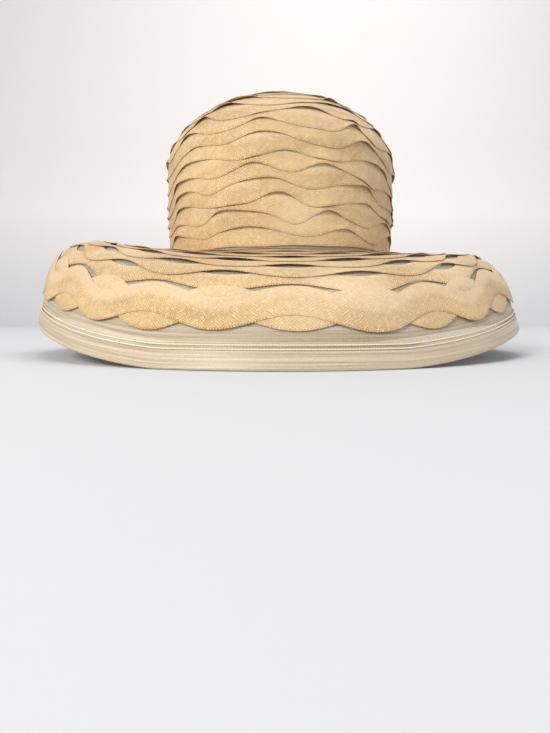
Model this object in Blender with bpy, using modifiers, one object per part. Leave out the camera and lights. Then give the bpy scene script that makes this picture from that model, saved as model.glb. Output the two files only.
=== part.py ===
"""A wide-brim braided organza hat, resting on its rim.

Metres, +Z up, front at -Y, the floor at z = 0. A sheer crown and brim carry rows of braid that
overlap like shingles. Two wavy rows cross near the brim's edge, which is left sheer and hemmed.
"""
import math

import bpy
import numpy as np

# Head and crown. A pair of half sizes is (sideways, front to back), at the middle of the cloth.
HEAD_HALF = (0.086, 0.094)
CROWN_HALF = (0.087, 0.095)
CROWN_WALL = 0.068
CROWN_CAP = 0.054
OPENING_HEIGHT = 0.070

# The brim's section, once round the head. Angles in degrees, a slope is downward going outward.
SECTION_COLUMNS = ("azimuth", "rim_radius", "rim_height", "root_slope", "edge_slope", "fullness")
SECTIONS = [
    (0, 0.187, 0.000, 16, 68, 0.55),
    (25, 0.185, 0.003, 8, 68, 0.57),
    (50, 0.182, 0.014, -6, 72, 0.62),
    (75, 0.182, 0.026, -16, 82, 0.68),
    (100, 0.182, 0.026, -18, 80, 0.68),
    (125, 0.185, 0.011, -8, 68, 0.60),
    (150, 0.188, 0.001, 6, 58, 0.55),
    (180, 0.188, 0.000, 12, 54, 0.53),
    (210, 0.187, 0.001, 10, 56, 0.55),
    (235, 0.184, 0.011, 4, 62, 0.60),
    (260, 0.181, 0.021, -2, 70, 0.64),
    (285, 0.180, 0.022, -2, 74, 0.66),
    (310, 0.180, 0.013, 3, 72, 0.60),
    (335, 0.184, 0.003, 10, 68, 0.56),
]
EDGE_PULL = 0.06            # how much less the edge's handle pulls than the root's
RIM_SINK = 0.002            # the rim's lowest arcs are pressed flat by this much at rest

# Cloth and layers. A lift is measured from the middle of the sheer base to the middle of the braid.
CLOTH = 0.0010
GAP = 0.0003
CROWN_BRAID_LIFT = 0.0015
BRIM_BRAID_LIFT = 0.0021
CROWN_SHINGLE_RISE = 0.0035   # how far the lower edge of a row stands up over the next row
BRIM_SHINGLE_RISE = 0.0035
WAVE_RISE = 0.0020          # one crossing row over the other

# Rows of braid, measured along the surface, outward or upward.
CROWN_ROWS = 18
CROWN_FOOT = 0.0085         # sheer strip between the brim and the lowest crown row
TIP_RADIUS = 0.0095
TIP_LIFT = 0.0043
BRIM_ROWS = 7
BRIM_FOOT = 0.0032
BRIM_WIDTH = 0.125
BRAIDED = 0.0715            # width of the brim that the plain rows cover
ROW_WAVE = 0.0016
ROW_OVERLAP = 0.0038
LENS_GAP = 0.0054           # how much of the overlap is lost where two rows part
WAVE_COUNT = 14
WAVE_SWING = 0.0055
WAVE_MIDDLE = 0.0890
WAVE_WIDTH = 0.0170
GOLDEN_TURN = 2.39996       # turns each row's waves against the last row's

BAND_HEIGHT = 0.030
BAND_BELOW = 0.002
HEM_HALF = (0.0018, 0.0011)

CROWN_SIDES = 32
SIDES_NEAR_TOP = ((12, 24), (15, 16))   # from this row of the crown on, this many sides
BRIM_SIDES = 48
WAVE_SIDES = 70
CROWN_RINGS = 8
BRIM_RINGS = 6

COLOURS = {                 # base colour, roughness
    "organza": ((0.68, 0.60, 0.47), 0.55),
    "braid": ((0.62, 0.43, 0.23), 0.62),
    "headband": ((0.36, 0.21, 0.10), 0.75),
    "hem": ((0.72, 0.63, 0.47), 0.50),
}


def section_value(column, azimuth):
    """A column of SECTIONS at any azimuth (radians), on a smooth closed curve through its rows."""
    index = SECTION_COLUMNS.index(column)
    knots = np.radians([row[0] for row in SECTIONS])
    values = np.array([row[index] for row in SECTIONS], float)
    count = len(knots)
    spans = np.diff(np.append(knots, knots[0] + 2 * math.pi))
    rise = np.roll(values, -1) - values
    matrix = np.zeros((count, count))
    right = np.zeros(count)
    for i in range(count):
        before = spans[i - 1]
        after = spans[i]
        matrix[i, (i - 1) % count] += after
        matrix[i, i] += 2 * (before + after)
        matrix[i, (i + 1) % count] += before
        right[i] = 3 * (after * rise[i - 1] / before + before * rise[i] / after)
    slopes = np.linalg.solve(matrix, right)
    turn = np.mod(azimuth, 2 * math.pi)
    i = np.searchsorted(knots, turn, side="right") - 1
    t = (turn - knots[i]) / spans[i]
    after = (i + 1) % count
    return (values[i] * (1 + 2 * t) * (1 - t) ** 2 + slopes[i] * spans[i] * t * (1 - t) ** 2
            + values[after] * t * t * (3 - 2 * t) - slopes[after] * spans[i] * t * t * (1 - t))


def oval(azimuth, half):
    """Radius of an ellipse whose half sizes are (sideways, front to back)."""
    return half[0] * half[1] / np.hypot(half[1] * np.sin(azimuth), half[0] * np.cos(azimuth))


def rim_height(azimuth):
    return np.maximum(section_value("rim_height", azimuth) - RIM_SINK, 0)


def brim_profile(azimuth, steps=80):
    """The brim's section at one azimuth, root to rim, as radius and height."""
    root = np.array([oval(azimuth, HEAD_HALF), OPENING_HEIGHT])
    rim = np.array([section_value("rim_radius", azimuth), rim_height(azimuth) + HEM_HALF[1]])
    root_slope = math.radians(section_value("root_slope", azimuth))
    edge_slope = math.radians(section_value("edge_slope", azimuth))
    fullness = section_value("fullness", azimuth)
    span = np.hypot(*(rim - root))
    leave = root + fullness * span * np.array([math.cos(root_slope), -math.sin(root_slope)])
    arrive = rim - (fullness - EDGE_PULL) * span * np.array(
        [math.cos(edge_slope), -math.sin(edge_slope)])
    t = np.linspace(0, 1, steps)[:, None]
    return ((1 - t) ** 3 * root + 3 * t * (1 - t) ** 2 * leave
            + 3 * t * t * (1 - t) * arrive + t ** 3 * rim)


def crown_profile(azimuth, steps=80):
    """The crown's section at one azimuth, foot to top, as radius and height."""
    foot = oval(azimuth, HEAD_HALF)
    wide = oval(azimuth, CROWN_HALF)
    t = np.linspace(0, 1, steps)
    wall = np.stack([foot + (wide - foot) * np.sin(t * math.pi / 2), CROWN_WALL * t], 1)
    turn = t[1:] * math.pi / 2
    cap = np.stack([wide * np.cos(turn), CROWN_WALL + CROWN_CAP * np.sin(turn)], 1)
    profile = np.concatenate([wall, cap])
    profile[:, 1] += OPENING_HEIGHT
    return profile


def along(profile, share):
    """The point and the outward normal at a share of a section's length."""
    steps = np.diff(profile, axis=0)
    length = np.append(0, np.cumsum(np.hypot(steps[:, 0], steps[:, 1])))
    where = np.clip(share, 0, 1) * length[-1]
    point = np.array([np.interp(where, length, profile[:, axis]) for axis in (0, 1)])
    i = min(np.searchsorted(length, where, side="right"), len(steps)) - 1
    direction = steps[i] / np.hypot(*steps[i])
    upward = -1 if profile[-1, 0] > profile[0, 0] else 1
    return point, upward * np.array([direction[1], -direction[0]])


def place(profile_of, azimuth, share, lift):
    """A point on the crown or the brim, lifted off the surface, in the hat's frame."""
    point, normal = along(profile_of(azimuth), share)
    radius, height = point + lift * normal
    return (-radius * math.sin(azimuth), -radius * math.cos(azimuth), height)


def profile_length(profile_of):
    """Length of a section on the side that the photograph shows, at the front."""
    steps = np.diff(profile_of(0.0), axis=0)
    return float(np.hypot(steps[:, 0], steps[:, 1]).sum())


def row_wave(row, azimuth, count):
    """Sideways wander of a row's edge, between -1 and 1, different for every row."""
    turn = row * GOLDEN_TURN
    return 0.65 * math.sin(count * azimuth + turn) + 0.35 * math.sin((count - 2) * azimuth - 2 * turn)


def row_overlap(row, azimuth):
    """How far a row is tucked under its neighbour, negative in the lens gaps."""
    parting = max(0.0, math.cos(2 * azimuth + 1.7 * row)) ** 6
    return ROW_OVERLAP - LENS_GAP * parting


def add_object(name, vertices, faces, finish):
    mesh = bpy.data.meshes.new(name)
    mesh.from_pydata(vertices, [], faces)
    mesh.shade_smooth()
    mesh.materials.append(material(finish))
    item = bpy.data.objects.new(name, mesh)
    hat.objects.link(item)
    item.parent = middle
    return item


def material(finish):
    found = bpy.data.materials.get(finish)
    if found:
        return found
    colour, roughness = COLOURS[finish]
    made = bpy.data.materials.new(finish)
    made.use_nodes = True
    shader = made.node_tree.nodes["Principled BSDF"]
    shader.inputs["Base Color"].default_value = (*colour, 1)
    shader.inputs["Roughness"].default_value = roughness
    return made


def grid_faces(rings, sides, close_section=False):
    """Quads between rings of points, each ring closed, the section open or closed."""
    faces = []
    for ring in range(rings if close_section else rings - 1):
        above = (ring + 1) % rings
        for side in range(sides):
            after = (side + 1) % sides
            faces.append((ring * sides + side, ring * sides + after,
                          above * sides + after, above * sides + side))
    return faces


def cloth(name, vertices, faces, finish):
    """An open surface given the cloth's thickness by Solidify, half to each side."""
    item = add_object(name, vertices, faces, finish)
    wall = item.modifiers.new("cloth", "SOLIDIFY")
    wall.thickness = CLOTH
    wall.offset = 0
    return item


def azimuths(sides):
    return [2 * math.pi * side / sides for side in range(sides)]


def crown_base():
    """The sheer dome, open below. Its foot stands on the brim's root."""
    foot = CLOTH + GAP
    length = profile_length(crown_profile)
    vertices = []
    for ring in range(CROWN_RINGS):
        share = foot / length + (1 - foot / length) * ring / CROWN_RINGS
        vertices += [place(crown_profile, turn, share, 0) for turn in azimuths(CROWN_SIDES)]
    top = len(vertices)
    vertices.append((0, 0, OPENING_HEIGHT + CROWN_WALL + CROWN_CAP))
    faces = grid_faces(CROWN_RINGS, CROWN_SIDES)
    last = top - CROWN_SIDES
    faces += [(last + side, last + (side + 1) % CROWN_SIDES, top) for side in range(CROWN_SIDES)]
    return cloth("crown_base", vertices, [face[::-1] for face in faces], "organza")


def brim_base():
    """The sheer brim, from the head opening to just inside the hem."""
    reach = 1 - (HEM_HALF[0] + GAP) / BRIM_WIDTH
    vertices = []
    for ring in range(BRIM_RINGS + 1):
        share = reach * ring / BRIM_RINGS
        vertices += [place(brim_profile, turn, share, 0) for turn in azimuths(BRIM_SIDES)]
    return cloth("brim_base", vertices, grid_faces(BRIM_RINGS + 1, BRIM_SIDES), "organza")


def headband():
    """The ribbon inside the head opening."""
    inset = CLOTH + GAP
    half = (HEAD_HALF[0] - inset, HEAD_HALF[1] - inset)
    vertices = []
    for height in (OPENING_HEIGHT - BAND_BELOW, OPENING_HEIGHT - BAND_BELOW + BAND_HEIGHT):
        for turn in azimuths(CROWN_SIDES):
            radius = oval(turn, half)
            vertices.append((-radius * math.sin(turn), -radius * math.cos(turn), height))
    faces = grid_faces(2, CROWN_SIDES)
    return cloth("headband", vertices, [face[::-1] for face in faces], "headband")


def rim_hem():
    """The hem round the rim: a flattened roll, whose under side is level where it rests."""
    vertices = []
    for corner in range(6):
        angle = math.radians(60 * corner)
        for turn in azimuths(WAVE_SIDES):
            radius = section_value("rim_radius", turn) + HEM_HALF[0] * math.cos(angle)
            height = rim_height(turn) + HEM_HALF[1] * (1 + math.sin(angle) / math.sin(math.pi / 3))
            vertices.append((-radius * math.sin(turn), -radius * math.cos(turn), height))
    faces = grid_faces(6, WAVE_SIDES, close_section=True)
    return add_object("rim_hem", vertices, [face[::-1] for face in faces], "hem")


def crown_edge(row, azimuth):
    """Share of the crown's section at a row's lower edge. Waves fade towards the top."""
    length = profile_length(crown_profile)
    pitch = (length - CROWN_FOOT - TIP_RADIUS) / CROWN_ROWS
    fade = min(1.0, 1.25 * (1 - row / CROWN_ROWS) ** 0.7)
    return (CROWN_FOOT + row * pitch + fade * ROW_WAVE * row_wave(row, azimuth, 6)) / length


def crown_braid(row):
    """One row of braid round the crown. Its lower edge stands over the row below."""
    length = profile_length(crown_profile)
    sides = CROWN_SIDES
    for first_row, fewer_sides in SIDES_NEAR_TOP:
        if row >= first_row:
            sides = fewer_sides
    lower = []
    upper = []
    for turn in azimuths(sides):
        low = crown_edge(row, turn)
        high = crown_edge(row + 1, turn) + row_overlap(row, turn) / length
        lower.append(place(crown_profile, turn, low, CROWN_BRAID_LIFT + CROWN_SHINGLE_RISE))
        upper.append(place(crown_profile, turn, high, CROWN_BRAID_LIFT))
    faces = grid_faces(2, sides)
    return cloth(f"crown_braid_{row + 1:02d}", lower + upper, [face[::-1] for face in faces], "braid")


def crown_tip():
    """The round of braid that closes the top, over the last row."""
    sides = CROWN_SIDES // 2
    length = profile_length(crown_profile)
    share = 1 - (TIP_RADIUS + ROW_OVERLAP / 2) / length
    vertices = [place(crown_profile, turn, share, TIP_LIFT) for turn in azimuths(sides)]
    top = OPENING_HEIGHT + CROWN_WALL + CROWN_CAP
    vertices.append((0, 0, top + TIP_LIFT))
    faces = [(side, sides, (side + 1) % sides) for side in range(sides)]
    return cloth("crown_tip", vertices, faces, "braid")


def brim_edge(row, azimuth):
    """Share of the brim's section at a row's outer edge."""
    pitch = (BRAIDED - BRIM_FOOT) / BRIM_ROWS
    wander = ROW_WAVE * row_wave(row + 3, azimuth, 9) if row else 0
    return (BRIM_FOOT + row * pitch + wander) / BRIM_WIDTH


def brim_braid(row):
    """One row of braid round the brim, row 1 at the crown. Its outer edge stands over the next."""
    inner = []
    outer = []
    for turn in azimuths(BRIM_SIDES):
        tuck = row_overlap(row + 5, turn) / BRIM_WIDTH if row > 1 else 0
        start = brim_edge(row - 1, turn) - tuck
        end = brim_edge(row, turn)
        inner.append(place(brim_profile, turn, start, BRIM_BRAID_LIFT))
        outer.append(place(brim_profile, turn, end, BRIM_BRAID_LIFT + BRIM_SHINGLE_RISE))
    return cloth(f"brim_braid_{row}", inner + outer, grid_faces(2, BRIM_SIDES), "braid")


def brim_wave(name, phase, lift):
    """One of two rows that cross again and again round the brim, like a twisted chain."""
    vertices = []
    for across in (-0.5, 0.0, 0.5):
        for turn in azimuths(WAVE_SIDES):
            middle_line = WAVE_MIDDLE + WAVE_SWING * math.cos(WAVE_COUNT * turn + phase)
            share = (middle_line + across * WAVE_WIDTH) / BRIM_WIDTH
            vertices.append(place(brim_profile, turn, share, lift))
    return cloth(name, vertices, grid_faces(3, WAVE_SIDES), "braid")


def centre_on_floor():
    """Moves the hat so that the middle of its box stands over the origin."""
    corners = []
    for item in hat.objects:
        if item.type == "MESH":
            corners += [tuple(vertex.co) for vertex in item.data.vertices]
    corners = np.array(corners)
    low = corners.min(axis=0)
    high = corners.max(axis=0)
    middle.location = (-(low[0] + high[0]) / 2, -(low[1] + high[1]) / 2, 0)


for old in list(bpy.data.objects):
    bpy.data.objects.remove(old)
hat = bpy.data.collections.new("organza_hat")
bpy.context.scene.collection.children.link(hat)
middle = bpy.data.objects.new("hat_middle", None)
hat.objects.link(middle)

crown_base()
brim_base()
headband()
rim_hem()
for number in range(CROWN_ROWS):
    crown_braid(number)
crown_tip()
for number in range(1, BRIM_ROWS + 1):
    brim_braid(number)
brim_wave("brim_wave_under", 0.0, BRIM_BRAID_LIFT)
brim_wave("brim_wave_over", math.pi, BRIM_BRAID_LIFT + WAVE_RISE)
centre_on_floor()
bpy.context.view_layer.update()
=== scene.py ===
# %% [markdown]
# # A wide-brim organza hat
# The hat is a sheer organza dome and brim with rows of woven braid laid over it like shingles.
# Near the edge two wavy rows of braid cross like a twisted chain, and past them the organza is
# bare, with fine ridges, a stitched fold and a rolled rim. The frame holds the plain solids of all
# these pieces, and this script gives each one its cloth, its folds and its finish.

# %% Load the frame
import math

import bpy
import numpy as np
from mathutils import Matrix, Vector


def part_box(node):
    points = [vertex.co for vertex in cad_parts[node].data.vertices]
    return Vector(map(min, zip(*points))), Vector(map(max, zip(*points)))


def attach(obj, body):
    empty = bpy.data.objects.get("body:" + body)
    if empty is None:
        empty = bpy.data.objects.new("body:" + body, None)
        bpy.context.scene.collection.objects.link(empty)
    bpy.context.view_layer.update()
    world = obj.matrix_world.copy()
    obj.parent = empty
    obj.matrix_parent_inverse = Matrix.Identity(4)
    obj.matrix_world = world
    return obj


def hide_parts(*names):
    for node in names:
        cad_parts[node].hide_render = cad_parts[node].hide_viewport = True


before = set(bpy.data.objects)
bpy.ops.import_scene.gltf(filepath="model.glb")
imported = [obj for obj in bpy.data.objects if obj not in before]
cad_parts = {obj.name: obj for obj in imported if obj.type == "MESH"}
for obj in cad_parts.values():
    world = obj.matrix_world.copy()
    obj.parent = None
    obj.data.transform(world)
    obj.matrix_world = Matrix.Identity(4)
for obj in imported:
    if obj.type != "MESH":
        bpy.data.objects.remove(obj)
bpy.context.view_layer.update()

crown_low, crown_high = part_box("crown_base")
MIDDLE = ((crown_low.x + crown_high.x) / 2, (crown_low.y + crown_high.y) / 2)

# %% [markdown]
# ## The form
# A milliner shapes the organza over a block. Here the block is two families of curves: the brim's
# section is a Bezier curve whose end slopes change round the head, and the crown's section is a
# nearly upright wall under a quarter of an ellipse. The table gives the brim's section at fourteen
# places round the head, and a closed smooth curve runs through each column.

# %% Sizes of the form
HEAD_HALF = (0.086, 0.094)          # sideways, front to back
CROWN_HALF = (0.087, 0.095)
CROWN_WALL = 0.068
CROWN_CAP = 0.054
OPENING_HEIGHT = 0.070
RIM_LIFT = 0.0011                   # half the hem's height
RIM_SINK = 0.002
EDGE_PULL = 0.06

SECTION_COLUMNS = ("azimuth", "rim_radius", "rim_height", "root_slope", "edge_slope", "fullness")
SECTIONS = [
    (0, 0.187, 0.000, 16, 68, 0.55),
    (25, 0.185, 0.003, 8, 68, 0.57),
    (50, 0.182, 0.014, -6, 72, 0.62),
    (75, 0.182, 0.026, -16, 82, 0.68),
    (100, 0.182, 0.026, -18, 80, 0.68),
    (125, 0.185, 0.011, -8, 68, 0.60),
    (150, 0.188, 0.001, 6, 58, 0.55),
    (180, 0.188, 0.000, 12, 54, 0.53),
    (210, 0.187, 0.001, 10, 56, 0.55),
    (235, 0.184, 0.011, 4, 62, 0.60),
    (260, 0.181, 0.021, -2, 70, 0.64),
    (285, 0.180, 0.022, -2, 74, 0.66),
    (310, 0.180, 0.013, 3, 72, 0.60),
    (335, 0.184, 0.003, 10, 68, 0.56),
]
print("brim sections:", len(SECTIONS))


# %% Curves through the table
def section_value(column, azimuth):
    """A column of SECTIONS at azimuths in radians, on a smooth closed curve through its rows."""
    index = SECTION_COLUMNS.index(column)
    knots = np.radians([row[0] for row in SECTIONS])
    values = np.array([row[index] for row in SECTIONS], float)
    count = len(knots)
    spans = np.diff(np.append(knots, knots[0] + 2 * math.pi))
    rise = np.roll(values, -1) - values
    matrix = np.zeros((count, count))
    right = np.zeros(count)
    for i in range(count):
        before = spans[i - 1]
        after = spans[i]
        matrix[i, (i - 1) % count] += after
        matrix[i, i] += 2 * (before + after)
        matrix[i, (i + 1) % count] += before
        right[i] = 3 * (after * rise[i - 1] / before + before * rise[i] / after)
    slopes = np.linalg.solve(matrix, right)
    turn = np.mod(azimuth, 2 * math.pi)
    i = np.searchsorted(knots, turn, side="right") - 1
    t = (turn - knots[i]) / spans[i]
    after = (i + 1) % count
    return (values[i] * (1 + 2 * t) * (1 - t) ** 2 + slopes[i] * spans[i] * t * (1 - t) ** 2
            + values[after] * t * t * (3 - 2 * t) - slopes[after] * spans[i] * t * t * (1 - t))


def oval(azimuth, half):
    """Radius of an ellipse whose half sizes are (sideways, front to back)."""
    return half[0] * half[1] / np.hypot(half[1] * np.sin(azimuth), half[0] * np.cos(azimuth))


def brim_sections(azimuth, steps=160):
    """Radius and height along the brim's section at each azimuth, root to rim."""
    height = np.maximum(section_value("rim_height", azimuth) - RIM_SINK, 0) + RIM_LIFT
    root = np.stack([oval(azimuth, HEAD_HALF), np.full_like(azimuth, OPENING_HEIGHT)], -1)
    rim = np.stack([section_value("rim_radius", azimuth), height], -1)
    root_slope = np.radians(section_value("root_slope", azimuth))
    edge_slope = np.radians(section_value("edge_slope", azimuth))
    fullness = section_value("fullness", azimuth)[:, None]
    span = np.linalg.norm(rim - root, axis=1, keepdims=True)
    leave = root + fullness * span * np.stack([np.cos(root_slope), -np.sin(root_slope)], -1)
    arrive = rim - (fullness - EDGE_PULL) * span * np.stack(
        [np.cos(edge_slope), -np.sin(edge_slope)], -1)
    t = np.linspace(0, 1, steps)[None, :, None]
    return ((1 - t) ** 3 * root[:, None] + 3 * t * (1 - t) ** 2 * leave[:, None]
            + 3 * t * t * (1 - t) * arrive[:, None] + t ** 3 * rim[:, None])


def crown_sections(azimuth, steps=120):
    """Radius and height along the crown's section at each azimuth, foot to top."""
    foot = oval(azimuth, HEAD_HALF)[:, None]
    wide = oval(azimuth, CROWN_HALF)[:, None]
    t = np.linspace(0, 1, steps)[None, :]
    turn = t * math.pi / 2
    wall = np.stack([foot + (wide - foot) * np.sin(turn), CROWN_WALL * t + 0 * foot], -1)
    cap = np.stack([wide * np.cos(turn), CROWN_WALL + CROWN_CAP * np.sin(turn) + 0 * wide], -1)
    sections = np.concatenate([wall, cap[:, 1:]], axis=1)
    sections[..., 1] += OPENING_HEIGHT
    return sections


print("brim 5 in wide:", round(float(np.linalg.norm(
    np.diff(brim_sections(np.array([0.0]))[0], axis=0), axis=1).sum()) * 1000), "mm at the front")


# %% [markdown]
# ## Surfaces to lay cloth on
# Each family of sections becomes a smooth grid, evenly spaced along the section. Its UV map is an
# address: across is the turn round the head, and up is the share of the section's length. Geometry
# Nodes can then look up a place and a normal by that address, so a row of braid is only a strip of
# addresses. The grid's two ends share their points at the back. With points of their own, each end
# would have normals of its own, and every row laid over them would stay open there.

# %% Grids with addresses
ADDRESS = "address"
FORM_TURNS = 288
FORM_SHARES = 120
FORM_MARKS = np.linspace(0, 1, FORM_SHARES)
SEAM = math.pi                      # every run starts and ends at the back
ROUND_FIRST = ((0, 0), (1, 0), (1, 1), (0, 1))  # a face's corners, on round the head first
ALONG_FIRST = ((0, 0), (0, 1), (1, 1), (1, 0))  # on along the section first: faces the other way


def evenly(sections, count):
    """The same sections resampled at equal shares of their length."""
    steps = np.linalg.norm(np.diff(sections, axis=1), axis=2)
    length = np.concatenate([np.zeros((len(steps), 1)), np.cumsum(steps, axis=1)], axis=1)
    shares = np.linspace(0, 1, count)
    return np.stack([[np.interp(shares * run[-1], run, section[:, axis]) for axis in (0, 1)]
                     for run, section in zip(length, sections)]).transpose(0, 2, 1)


def section_length(sections):
    return float(np.linalg.norm(np.diff(sections[0], axis=0), axis=1).sum())


def radius_at(grid, share):
    """The form's radius at the back, at a share of its section."""
    return float(np.interp(share, FORM_MARKS, grid[0, :, 0]))


def round_the_head(sections, azimuth):
    """Points in the frame from sections of radius and height."""
    radius = sections[..., 0]
    turn = azimuth[:, None]
    return np.stack([MIDDLE[0] - radius * np.sin(turn), MIDDLE[1] - radius * np.cos(turn),
                     sections[..., 1]], -1)


def added(name, data):
    """A new object in the scene."""
    item = bpy.data.objects.new(name, data)
    bpy.context.scene.collection.objects.link(item)
    return item


def ring_object(name, points, corners, uv_name, run, marks):
    """A closed ring of sections. Its UV map is the run round the head, and a mark on each step.

    The corners of each face are steps on (round the head, along the section).
    """
    count, steps = points.shape[:2]
    faces, uv = [], []
    for i in range(count):
        for j in range(steps - 1):
            spots = [(i + on, j + up) for on, up in corners]
            faces.append([turn % count * steps + step for turn, step in spots])
            uv += [(turn / count * run, marks[step]) for turn, step in spots]
    mesh = bpy.data.meshes.new(name)
    mesh.from_pydata(points.reshape(-1, 3).tolist(), [], faces)
    layer = mesh.uv_layers.new(name=uv_name)
    layer.data.foreach_set("uv", np.array(uv, np.float32).ravel())
    mesh.shade_smooth()
    return added(name, mesh)


turns = np.linspace(0, 2 * math.pi, FORM_TURNS + 1) + SEAM
brim_grid = evenly(brim_sections(turns), FORM_SHARES)
crown_grid = evenly(crown_sections(turns), FORM_SHARES)
BRIM_LENGTH = section_length(brim_sections(turns[:1]))
CROWN_LENGTH = section_length(crown_sections(turns[:1]))
brim_form = ring_object("brim_form", round_the_head(brim_grid, turns)[:-1], ROUND_FIRST, ADDRESS,
                        1, FORM_MARKS)
crown_form = ring_object("crown_form", round_the_head(crown_grid, turns)[:-1], ROUND_FIRST[::-1],
                         ADDRESS, 1, FORM_MARKS)
print("section lengths in mm: brim", round(BRIM_LENGTH * 1000), "crown", round(CROWN_LENGTH * 1000))


# %% [markdown]
# ## Helpers for node trees
# Both kinds of tree, shapes and finishes, are built from the same helpers: one adds a node and
# fills its inputs, and small ones do a sum, a mix or a change of range. A tree of shapes also has
# named inputs and an end that makes real mesh with a finish. A finish starts as an empty tree.

# %% Node helpers
WEAVE_UV = "weave"


def put(tree, kind, inputs=None, **settings):
    """Adds a node. An input's value is a socket to link or a plain value."""
    item = tree.nodes.new(kind)
    for name, value in settings.items():
        setattr(item, name, value)
    for key, value in (inputs or {}).items():
        if isinstance(value, bpy.types.NodeSocket):
            tree.links.new(value, item.inputs[key])
        else:
            item.inputs[key].default_value = value
    return item


def calc(tree, operation, first, second=0.0, third=0.0):
    """The result socket of one Math node."""
    return put(tree, "ShaderNodeMath", {0: first, 1: second, 2: third},
               operation=operation).outputs[0]


def scaled(tree, vector, factor):
    return put(tree, "ShaderNodeVectorMath", {0: vector, "Scale": factor},
               operation="SCALE").outputs[0]


def moved_along(tree, place, direction, far):
    return put(tree, "ShaderNodeVectorMath", {0: place, 1: scaled(tree, direction, far)},
               operation="ADD").outputs[0]


def combined(tree, first, second=0.0):
    return put(tree, "ShaderNodeCombineXYZ", {0: first, 1: second}).outputs[0]


def mapped(tree, value, low, high, to_low=0.0, to_high=1.0):
    """A value carried from one range to another, and held at its ends."""
    return put(tree, "ShaderNodeMapRange", {0: value, 1: low, 2: high, 3: to_low,
                                            4: to_high}).outputs[0]


def mixed(tree, factor, first, second):
    """A colour between two others."""
    return put(tree, "ShaderNodeMix", {"Factor": factor, "A": first, "B": second},
               data_type="RGBA").outputs["Result"]


def shape_tree(name, inputs):
    """A tree of shapes, and the sockets of its inputs, each given by name, kind and default."""
    tree = bpy.data.node_groups.new(name, "GeometryNodeTree")
    for way in ("INPUT", "OUTPUT"):
        tree.interface.new_socket("Geometry", in_out=way, socket_type="NodeSocketGeometry")
    for label, kind, default in inputs:
        socket = tree.interface.new_socket(label, in_out="INPUT", socket_type="NodeSocket" + kind)
        if default is not None:
            socket.default_value = default
    return tree, put(tree, "NodeGroupInput").outputs


def look_up(tree, form, address):
    """The place and the normal that a form has at an address."""
    form_address = put(tree, "GeometryNodeInputNamedAttribute", {"Name": ADDRESS},
                       data_type="FLOAT_VECTOR").outputs[0]
    return [put(tree, "GeometryNodeSampleUVSurface", {
        "Mesh": form, "Value": put(tree, kind).outputs[0], "UV Map": form_address,
        "Sample UV": address}, data_type="FLOAT_VECTOR").outputs[0]
        for kind in ("GeometryNodeInputPosition", "GeometryNodeInputNormal")]


def with_weave(tree, geometry, uv):
    """Geometry that keeps a UV map for its finish."""
    return put(tree, "GeometryNodeStoreNamedAttribute", {
        "Geometry": geometry, "Name": WEAVE_UV, "Value": uv},
        data_type="FLOAT2", domain="CORNER").outputs[0]


def end_tree(tree, geometry, finish):
    """Makes real mesh with a finish, and sends it out."""
    real = put(tree, "GeometryNodeRealizeInstances", {"Geometry": geometry})
    painted = put(tree, "GeometryNodeSetMaterial", {"Geometry": real.outputs[0],
                                                    "Material": finish})
    put(tree, "NodeGroupOutput", {0: painted.outputs[0]})


def empty_finish(name):
    """A new material and its node tree, with nothing in it."""
    made = bpy.data.materials.new(name)
    made.use_nodes = True
    made.node_tree.nodes.clear()
    return made, made.node_tree


def weave_place(tree):
    """Metres along the cloth's run, and metres across it."""
    place = put(tree, "ShaderNodeUVMap", uv_map=WEAVE_UV).outputs[0]
    return put(tree, "ShaderNodeSeparateXYZ", {0: place}).outputs[:2]


def set_input(modifier, name, value):
    """Sets a tree's input by its identifier."""
    for item in modifier.node_group.interface.items_tree:
        if item.item_type == "SOCKET" and item.in_out == "INPUT" and item.name == name:
            modifier[item.identifier] = value
            return
    raise KeyError(name)


print("helpers ready")


# %% [markdown]
# ## Finish: woven braid
# The braid is a flat tan plait with slanting ribs that change direction in every column, like
# herringbone, and a little glitter thread. The weave is drawn from the strip's own UV map, which
# holds real metres along and across it, so every row has the same rib size. An image would blur
# close up and repeat, and modelled ribs would cost millions of faces. A slow noise bends the ribs
# a little, and some light passes through the cloth, so part of the shader is translucent.

# %% Braid colours and weave
BRAID_LIGHT = (0.87, 0.635, 0.345, 1)
# The crossing pair's braid is painted a little darker than the rest. That is painted shade, because
# the pair faces the lights more than the other rows.
BRAID_PAIR_SHADED = (0.84, 0.60, 0.31, 1)     # the crossing pair near the rim
BRAID_DARK = (0.44, 0.27, 0.11, 1)
BRAID_PALE = (0.90, 0.72, 0.50, 1)
# the glitter specks' bright colour is a painted glint on the real, smoother thread
GLITTER_GLINT = (1.0, 0.86, 0.55, 1)
COLUMN_PITCH = 0.0044               # a column of ribs, along the strip
RIB_PITCH = 0.0017                  # a rib, across the strip
RIB_RISE = 2.5                      # ribs climbed within one column, which sets their slant
PALE_FROM = 0.0085                  # the strip turns paler this far from its free edge
# The edge's ticks are small gaps in the plait, painted dark: painted shade seen through the gaps.
EDGE_TICKS = 0.0011                 # the width of the edge's row of small dark gaps
EDGE_TICK_PITCH = 0.0015


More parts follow.
